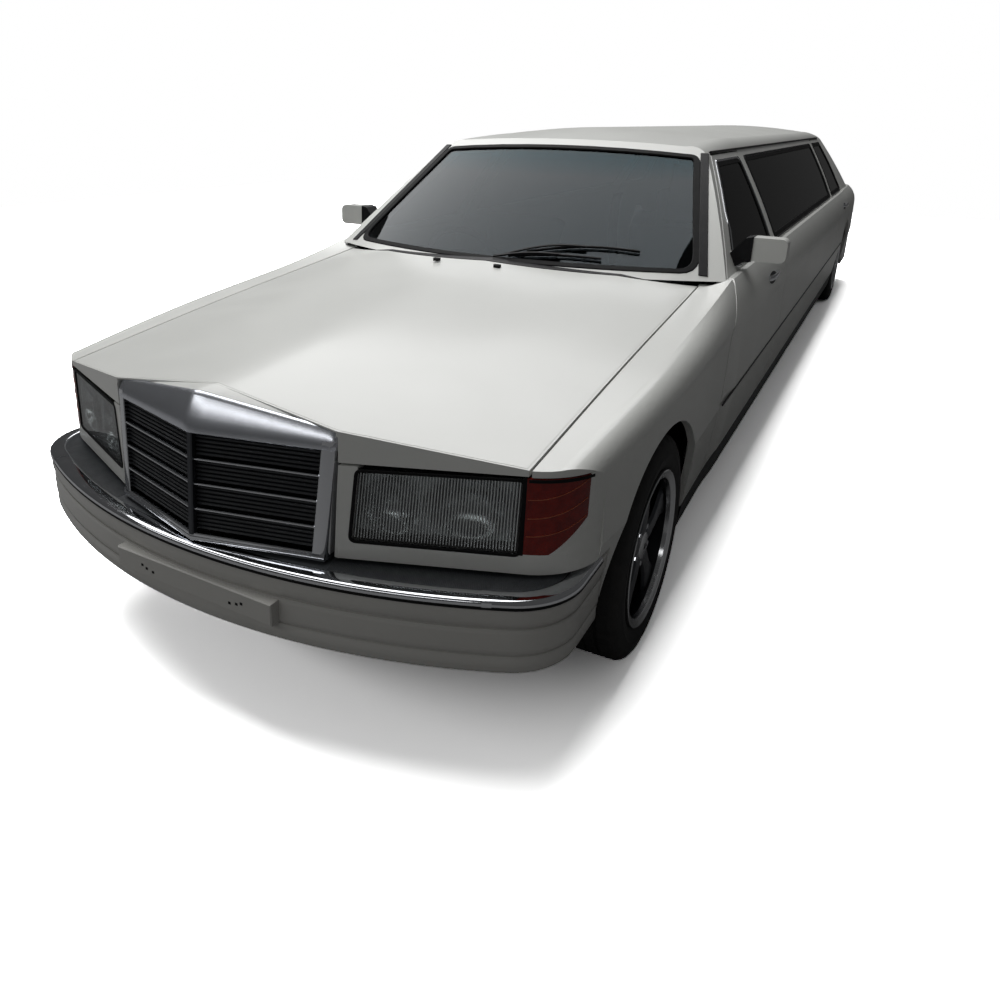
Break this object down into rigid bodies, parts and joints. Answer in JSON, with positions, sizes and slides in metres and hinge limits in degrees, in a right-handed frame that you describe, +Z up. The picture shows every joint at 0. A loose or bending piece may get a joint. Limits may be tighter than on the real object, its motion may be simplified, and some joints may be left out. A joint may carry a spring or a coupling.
{
  "type": "stretched limousine",
  "caption": "Long-wheelbase saloon car with a V-prow chrome grille, hinged doors, hood and trunk lid, steered front wheels and a hollow cabin.",
  "frame": {"origin": "centre of the bounding box on the ground under the tyres", "axes": "+Z up, the nose faces -Y, the car's left side is +X"},
  "size_m": [1.98, 7.9, 1.4411],
  "materials": {
    "body_paint": "gloss",
    "chrome": "polished",
    "black_trim": "satin",
    "lamp_glass": "gloss",
    "amber_lens": "gloss",
    "red_lens": "gloss",
    "clear_glass": "gloss",
    "tinted_glass": "gloss",
    "sill_grey": "satin",
    "tyre_rubber": "matte",
    "alloy": "satin",
    "steel": "satin",
    "cast": "matte",
    "cabin_plastic": "matte",
    "leather": "satin",
    "underbody": "satin"
  },
  "bodies": {
    "body": {"bumper_pad": "black_trim", "bumper_trim": "chrome", "cowl": "black_trim", "dashboard": "cabin_plastic", "driveline": "steel", "engine": "cast", "exhaust": "steel", "floor_pan": "underbody", "front_axle": "steel", "front_bumper": "body_paint", "front_fenders": "body_paint", "front_seats": "leather", "front_structure": "underbody", "headlamp_housings": "black_trim", "headlamp_lenses": "lamp_glass", "hinge_posts": "underbody", "indicator_lenses": "amber_lens", "nose_panel": "body_paint", "quarter_panels": "body_paint", "rear_axle": "steel", "rear_bumper": "body_paint", "rear_deck": "cabin_plastic", "rear_pillars": "body_paint", "rear_seats": "leather", "rear_window": "tinted_glass", "roof": "body_paint", "sills": "sill_grey", "stretch_panels": "body_paint", "stretch_windows": "tinted_glass", "tail_lamps": "red_lens", "tail_panel": "body_paint", "windshield": "clear_glass", "windshield_frame": "body_paint", "wipers": "black_trim"},
    "hood": {"hood": "body_paint", "grille_shell": "chrome", "grille_slats": "black_trim"},
    "trunk_lid": {"trunk_lid": "body_paint"},
    "steering_wheel": {"steering_wheel": "cabin_plastic"},
    "knuckle_left": {"knuckle_left": "steel"},
    "door_front_left": {"door_front_left": "body_paint", "door_glass_front_left": "tinted_glass", "mirror_left": "body_paint"},
    "wheel_front_left": {"tyre_front_left": "tyre_rubber", "rim_front_left": "alloy"},
    "door_rear_left": {"door_rear_left": "body_paint", "door_glass_rear_left": "tinted_glass"},
    "wheel_rear_left": {"tyre_rear_left": "tyre_rubber", "rim_rear_left": "alloy"},
    "knuckle_right": {"knuckle_right": "steel"},
    "door_front_right": {"door_front_right": "body_paint", "door_glass_front_right": "tinted_glass", "mirror_right": "body_paint"},
    "wheel_front_right": {"tyre_front_right": "tyre_rubber", "rim_front_right": "alloy"},
    "door_rear_right": {"door_rear_right": "body_paint", "door_glass_rear_right": "tinted_glass"},
    "wheel_rear_right": {"tyre_rear_right": "tyre_rubber", "rim_rear_right": "alloy"}
  },
  "joints": [
    {"name": "steer_left", "type": "hinge", "parent": "body", "child": "knuckle_left", "pos_m": [0.6775, -3.052, 0.328], "axis": [0, 0, 1], "range_deg": [-33, 33]},
    {"name": "spin_front_left", "type": "hinge", "parent": "knuckle_left", "child": "wheel_front_left", "pos_m": [0.7775, -3.052, 0.328], "axis": [1, 0, 0], "continuous": true},
    {"name": "spin_rear_left", "type": "hinge", "parent": "body", "child": "wheel_rear_left", "pos_m": [0.7635, 2.733, 0.328], "axis": [1, 0, 0], "continuous": true},
    {"name": "open_door_front_left", "type": "hinge", "parent": "body", "child": "door_front_left", "pos_m": [0.904, -2.34, 0.65], "axis": [0, 0, -1], "range_deg": [0, 65]},
    {"name": "open_door_rear_left", "type": "hinge", "parent": "body", "child": "door_rear_left", "pos_m": [0.904, 1.786, 0.65], "axis": [0, 0, -1], "range_deg": [0, 65]},
    {"name": "steer_right", "type": "hinge", "parent": "body", "child": "knuckle_right", "pos_m": [-0.6775, -3.052, 0.328], "axis": [0, 0, 1], "range_deg": [-33, 33]},
    {"name": "spin_front_right", "type": "hinge", "parent": "knuckle_right", "child": "wheel_front_right", "pos_m": [-0.7775, -3.052, 0.328], "axis": [1, 0, 0], "continuous": true},
    {"name": "spin_rear_right", "type": "hinge", "parent": "body", "child": "wheel_rear_right", "pos_m": [-0.7635, 2.733, 0.328], "axis": [1, 0, 0], "continuous": true},
    {"name": "open_door_front_right", "type": "hinge", "parent": "body", "child": "door_front_right", "pos_m": [-0.904, -2.34, 0.65], "axis": [0, 0, 1], "range_deg": [0, 65]},
    {"name": "open_door_rear_right", "type": "hinge", "parent": "body", "child": "door_rear_right", "pos_m": [-0.904, 1.786, 0.65], "axis": [0, 0, 1], "range_deg": [0, 65]},
    {"name": "open_hood", "type": "hinge", "parent": "body", "child": "hood", "pos_m": [0, -2.155, 0.935], "axis": [-1, 0, 0], "range_deg": [0, 50]},
    {"name": "open_trunk", "type": "hinge", "parent": "body", "child": "trunk_lid", "pos_m": [0, 3.275, 0.983], "axis": [1, 0, 0], "range_deg": [0, 70]},
    {"name": "turn_steering_wheel", "type": "hinge", "parent": "body", "child": "steering_wheel", "pos_m": [-0.37, -1.81, 0.83], "axis": [0, 0.9063, 0.4226], "range_deg": [-470, 470]}
  ],
  "couplings": [
    {"joint": "steer_right", "follows": "steer_left", "ratio": 1},
    {"joint": "turn_steering_wheel", "follows": "steer_left", "ratio": 14}
  ]
}
